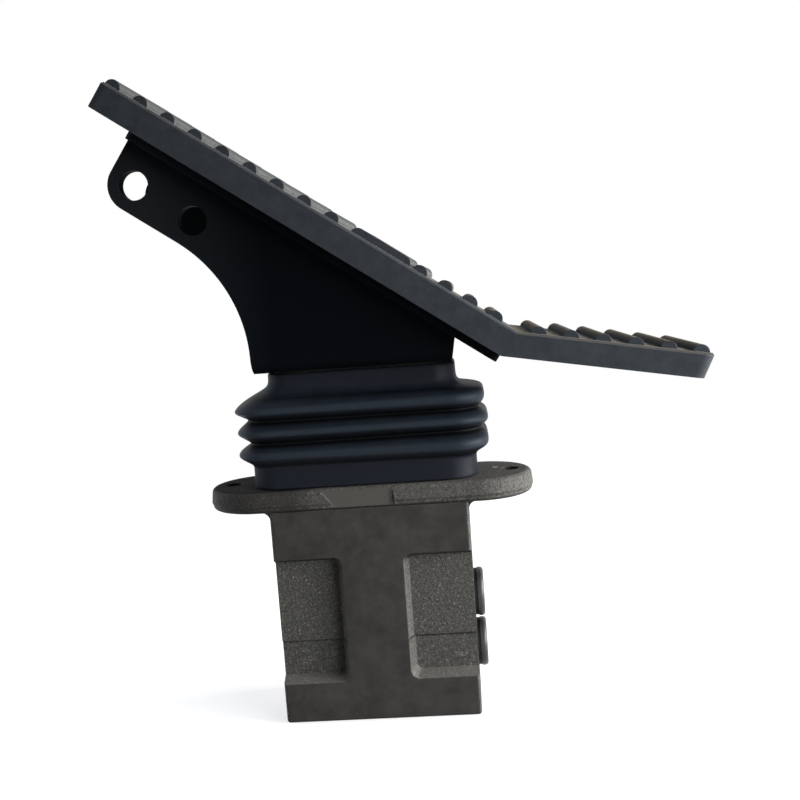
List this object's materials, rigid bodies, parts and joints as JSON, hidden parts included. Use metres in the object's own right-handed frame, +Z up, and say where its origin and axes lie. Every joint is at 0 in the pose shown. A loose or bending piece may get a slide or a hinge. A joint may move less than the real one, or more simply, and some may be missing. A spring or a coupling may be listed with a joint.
{
  "type": "hydraulic foot pedal valve",
  "caption": "Double-acting hydraulic foot pedal valve: ribbed rocking pedal on a folded bracket, rubber bellows, flanged iron valve body with spools inside.",
  "frame": {"origin": "middle of the valve body's bottom face", "axes": "+Z up through the mounting flange to the pedal, +X towards the side with the two port plugs, +Y along the pedal's pivot, away from the pocket face with the ground patch on the flange"},
  "size_m": [0.255, 0.085, 0.2914],
  "materials": {
    "cast_iron": "as cast, with machined faces",
    "zinc_steel": "phosphated",
    "seal_rubber": "smooth",
    "housing_iron": "as cast",
    "rocker_iron": "as cast",
    "black_steel": "blackened",
    "ground_steel": "ground and hardened",
    "bush_bronze": "machined bronze",
    "spring_steel": "drawn wire",
    "boot_rubber": "satin moulded rubber",
    "bracket_paint": "satin black",
    "pedal_paint": "casting, satin dark grey coat"
  },
  "bodies": {
    "valve": {"valve_body": "cast_iron", "pressure_port_plug": "zinc_steel", "tank_port_plug": "zinc_steel", "port_seal_washers": "seal_rubber", "bush_rings": "seal_rubber", "rod_seals": "seal_rubber", "housing_gasket": "seal_rubber", "pivot_housing": "housing_iron", "housing_screws": "black_steel", "pivot_pin": "ground_steel", "pin_retaining_rings": "black_steel", "boot": "boot_rubber", "guide_bush_left": "bush_bronze", "guide_bush_right": "bush_bronze", "return_spring_left": "spring_steel", "return_spring_right": "spring_steel"},
    "pedal": {"rocker": "rocker_iron", "contact_buttons": "ground_steel", "pivot_bushes": "bush_bronze", "pedal_bracket": "bracket_paint", "bracket_screws": "black_steel", "pedal_base_plate": "bracket_paint", "pedal_pad": "pedal_paint", "pedal_screws": "black_steel"},
    "rod_left": {"pushrod_left": "ground_steel", "spring_seat_left": "ground_steel", "spool_left": "ground_steel", "spool_washer_left": "ground_steel", "metering_spring_left": "spring_steel"},
    "rod_right": {"pushrod_right": "ground_steel", "spring_seat_right": "ground_steel", "spool_right": "ground_steel", "spool_washer_right": "ground_steel", "metering_spring_right": "spring_steel"}
  },
  "joints": [
    {"name": "pedal_tilt", "type": "hinge", "parent": "valve", "child": "pedal", "pos_m": [0, 0, 0.135], "axis": [0, 1, 0], "range_deg": [-12, 12], "stiffness_Nm_per_rad": 15, "deforming": ["boot", "return_spring_left", "return_spring_right"]},
    {"name": "rod_left_slide", "type": "slide", "parent": "valve", "child": "rod_left", "axis": [0, 0, 1], "range_m": [-0.0047, 0.0047]},
    {"name": "rod_right_slide", "type": "slide", "parent": "valve", "child": "rod_right", "axis": [0, 0, 1], "range_m": [-0.0047, 0.0047]}
  ],
  "couplings": [
    {"joint": "rod_left_slide", "follows": "pedal_tilt", "m_per_rad": 0.022},
    {"joint": "rod_right_slide", "follows": "pedal_tilt", "m_per_rad": -0.022}
  ]
}
